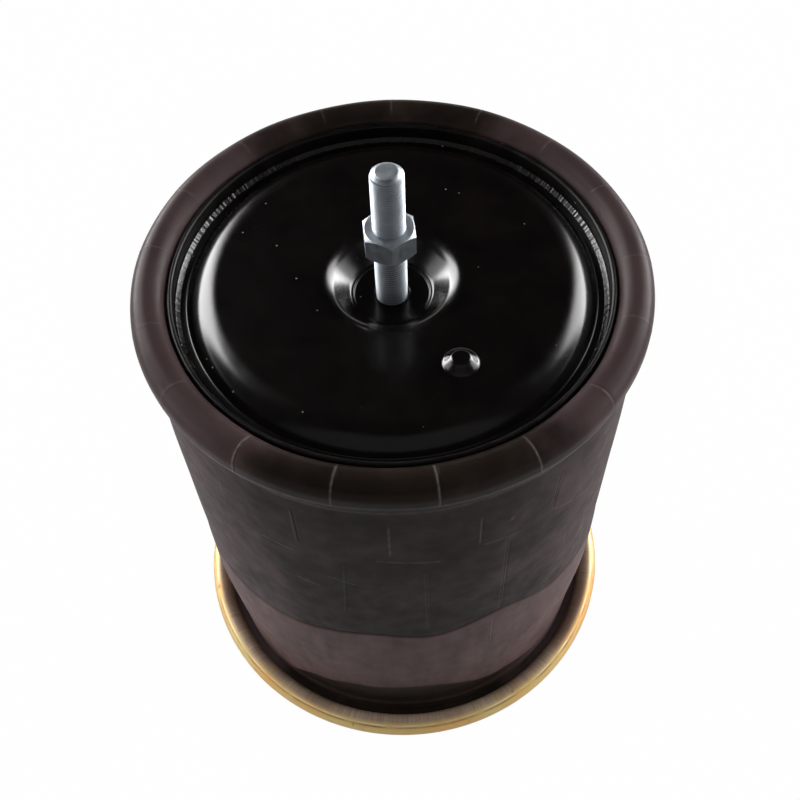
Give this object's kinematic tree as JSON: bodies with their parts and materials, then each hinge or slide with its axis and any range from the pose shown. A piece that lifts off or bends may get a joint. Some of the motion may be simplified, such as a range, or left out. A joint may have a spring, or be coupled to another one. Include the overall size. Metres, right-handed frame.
{
  "type": "air suspension spring",
  "caption": "Rolling-lobe rubber air spring with a crimped bead plate, a drawn steel piston, a central threaded stud with a hex nut, and a locating pip.",
  "frame": {"origin": "centre of the bead plate's mounting face, which is the spring's lowest plane as it stands", "axes": "+Z along the spring's axis from the bead plate to the piston's foot and stud, +X towards the locating pip, with the two blind nuts on the Y axis"},
  "size_m": [0.2636, 0.2636, 0.3587],
  "materials": {
    "yellow_zinc": "yellow-passivated zinc, pale gold with brown stains",
    "bright_zinc": "bright zinc plate with fine thread",
    "plain_steel": "bare steel, oiled",
    "black_paint": "high gloss black",
    "bellows_rubber": "cured rubber with the prints of its curing wrap",
    "bump_rubber": "moulded, matt"
  },
  "bodies": {
    "plate_end": {"bead_plate": "yellow_zinc", "plate_bead_hoop": "plain_steel", "blind_nut_left": "plain_steel", "blind_nut_right": "plain_steel", "air_port": "plain_steel", "port_weld": "plain_steel", "bellows_sleeve": "bellows_rubber"},
    "lobe": {"bellows_lobe": "bellows_rubber"},
    "piston": {"bellows_inner_wall": "bellows_rubber", "piston_bead_hoop": "plain_steel", "piston_pot": "black_paint", "foot_disc": "black_paint", "foot_weld_bead": "black_paint", "support_tube": "plain_steel", "end_closure": "yellow_zinc", "closure_boss": "plain_steel", "boss_weld": "plain_steel", "stud": "bright_zinc", "bump_stop": "bump_rubber", "bump_washer": "bright_zinc", "bump_bolt": "bright_zinc"},
    "nut": {"hex_nut": "bright_zinc"}
  },
  "joints": [
    {"name": "lobe_roll", "type": "slide", "parent": "plate_end", "child": "lobe", "axis": [0, 0, 1], "range_m": [0, 0.12], "deforming": ["bellows_sleeve"]},
    {"name": "piston_stroke", "type": "slide", "parent": "lobe", "child": "piston", "axis": [0, 0, 1], "range_m": [0, 0.12], "deforming": ["bellows_inner_wall"]},
    {"name": "nut_spin", "type": "hinge", "parent": "piston", "child": "nut", "pos_m": [0, 0, 0.317], "axis": [0, 0, 1], "continuous": true}
  ],
  "couplings": [
    {"joint": "lobe_roll", "follows": "piston_stroke", "ratio": 1}
  ]
}
